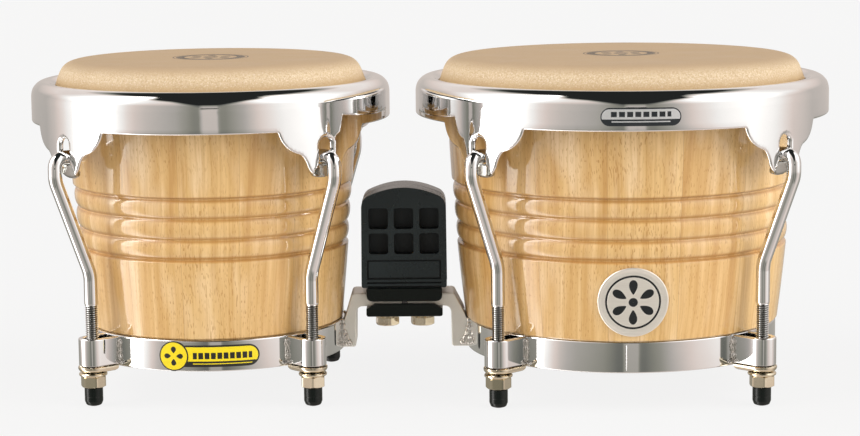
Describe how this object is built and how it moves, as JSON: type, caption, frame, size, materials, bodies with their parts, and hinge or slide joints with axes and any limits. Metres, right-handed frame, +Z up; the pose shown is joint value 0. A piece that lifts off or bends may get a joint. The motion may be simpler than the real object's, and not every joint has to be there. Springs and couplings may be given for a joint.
{
  "type": "bongo drums",
  "caption": "Tapered wooden bongo drums, small and large, with hide heads, chromed rims pulled down by hook rods and nuts, rubber feet and a clamped centre block.",
  "frame": {"origin": "middle of the outline at the foot of the rubber feet", "axes": "+Z up, +X from the small drum to the large one, -Y towards the front with the round badge"},
  "size_m": [0.4704, 0.2444, 0.1966],
  "materials": {
    "shell_wood": "glossy clear lacquer over rubberwood staves",
    "hide": "natural hide, matt on top and mottled at the collar",
    "chrome": "bright chrome plate",
    "nickel": "satin nickel plate, warm tint",
    "zinc_plate": "matt pale plate",
    "rubber": "matt black",
    "black_plastic": "semi-gloss moulded black",
    "black_paint": "satin black coat",
    "brass": "plain machined",
    "badge_steel": "satin disc with a rolled edge and black inlay",
    "yellow_label": "printed film, yellow and black",
    "black_label": "printed film, black and silver"
  },
  "bodies": {
    "root": {"macho_shell": "shell_wood", "macho_head": "hide", "macho_bottom_ring": "chrome", "macho_saddle_1": "nickel", "macho_saddle_2": "nickel", "macho_saddle_3": "nickel", "macho_saddle_4": "nickel", "macho_arm": "zinc_plate", "macho_bolt": "nickel", "macho_lock_washer": "nickel", "macho_threaded_insert": "brass", "hembra_shell": "shell_wood", "hembra_head": "hide", "hembra_bottom_ring": "chrome", "hembra_saddle_1": "nickel", "hembra_saddle_2": "nickel", "hembra_saddle_3": "nickel", "hembra_saddle_4": "nickel", "hembra_arm": "zinc_plate", "hembra_bolt": "nickel", "hembra_lock_washer": "nickel", "hembra_threaded_insert": "brass", "block_body": "black_plastic", "block_pad": "rubber", "clamp_plate": "black_paint", "ring_sticker": "yellow_label", "badge": "badge_steel"},
    "macho_tuning_set": {"macho_rim": "chrome", "macho_flesh_hoop": "chrome", "macho_rod_1": "chrome", "macho_rod_2": "chrome", "macho_rod_3": "chrome", "macho_rod_4": "chrome", "macho_foot_1": "rubber", "macho_foot_2": "rubber", "macho_foot_3": "rubber", "macho_foot_4": "rubber"},
    "hembra_tuning_set": {"hembra_rim": "chrome", "hembra_flesh_hoop": "chrome", "hembra_rod_1": "chrome", "hembra_rod_2": "chrome", "hembra_rod_3": "chrome", "hembra_rod_4": "chrome", "hembra_foot_1": "rubber", "hembra_foot_2": "rubber", "hembra_foot_3": "rubber", "hembra_foot_4": "rubber", "rim_sticker": "black_label"},
    "macho_nut_1": {"macho_nut_1": "nickel"},
    "macho_nut_2": {"macho_nut_2": "nickel"},
    "macho_nut_3": {"macho_nut_3": "nickel"},
    "macho_nut_4": {"macho_nut_4": "nickel"},
    "hembra_nut_1": {"hembra_nut_1": "nickel"},
    "hembra_nut_2": {"hembra_nut_2": "nickel"},
    "hembra_nut_3": {"hembra_nut_3": "nickel"},
    "hembra_nut_4": {"hembra_nut_4": "nickel"}
  },
  "joints": [
    {"name": "macho_tune", "type": "slide", "parent": "root", "child": "macho_tuning_set", "axis": [0, 0, -1], "range_m": [0, 0.006]},
    {"name": "hembra_tune", "type": "slide", "parent": "root", "child": "hembra_tuning_set", "axis": [0, 0, -1], "range_m": [0, 0.006]},
    {"name": "macho_nut_1_turn", "type": "hinge", "parent": "root", "child": "macho_nut_1", "pos_m": [-0.0684, -0.06604, 0.0154], "axis": [0, 0, 1], "range_deg": [0, 1729]},
    {"name": "macho_nut_2_turn", "type": "hinge", "parent": "root", "child": "macho_nut_2", "pos_m": [-0.06351, 0.06115, 0.0154], "axis": [0, 0, 1], "range_deg": [0, 1729]},
    {"name": "macho_nut_3_turn", "type": "hinge", "parent": "root", "child": "macho_nut_3", "pos_m": [-0.1907, 0.06604, 0.0154], "axis": [0, 0, 1], "range_deg": [0, 1729]},
    {"name": "macho_nut_4_turn", "type": "hinge", "parent": "root", "child": "macho_nut_4", "pos_m": [-0.19559, -0.06115, 0.0154], "axis": [0, 0, 1], "range_deg": [0, 1729]},
    {"name": "hembra_nut_1_turn", "type": "hinge", "parent": "root", "child": "hembra_nut_1", "pos_m": [0.18869, -0.07524, 0.0154], "axis": [0, 0, 1], "range_deg": [0, 1729]},
    {"name": "hembra_nut_2_turn", "type": "hinge", "parent": "root", "child": "hembra_nut_2", "pos_m": [0.18869, 0.07524, 0.0154], "axis": [0, 0, 1], "range_deg": [0, 1729]},
    {"name": "hembra_nut_3_turn", "type": "hinge", "parent": "root", "child": "hembra_nut_3", "pos_m": [0.03821, 0.07524, 0.0154], "axis": [0, 0, 1], "range_deg": [0, 1729]},
    {"name": "hembra_nut_4_turn", "type": "hinge", "parent": "root", "child": "hembra_nut_4", "pos_m": [0.03821, -0.07524, 0.0154], "axis": [0, 0, 1], "range_deg": [0, 1729]}
  ],
  "couplings": [
    {"joint": "macho_nut_1_turn", "follows": "macho_tune", "rad_per_m": 5026.5},
    {"joint": "macho_nut_2_turn", "follows": "macho_tune", "rad_per_m": 5026.5},
    {"joint": "macho_nut_3_turn", "follows": "macho_tune", "rad_per_m": 5026.5},
    {"joint": "macho_nut_4_turn", "follows": "macho_tune", "rad_per_m": 5026.5},
    {"joint": "hembra_nut_1_turn", "follows": "hembra_tune", "rad_per_m": 5026.5},
    {"joint": "hembra_nut_2_turn", "follows": "hembra_tune", "rad_per_m": 5026.5},
    {"joint": "hembra_nut_3_turn", "follows": "hembra_tune", "rad_per_m": 5026.5},
    {"joint": "hembra_nut_4_turn", "follows": "hembra_tune", "rad_per_m": 5026.5}
  ]
}
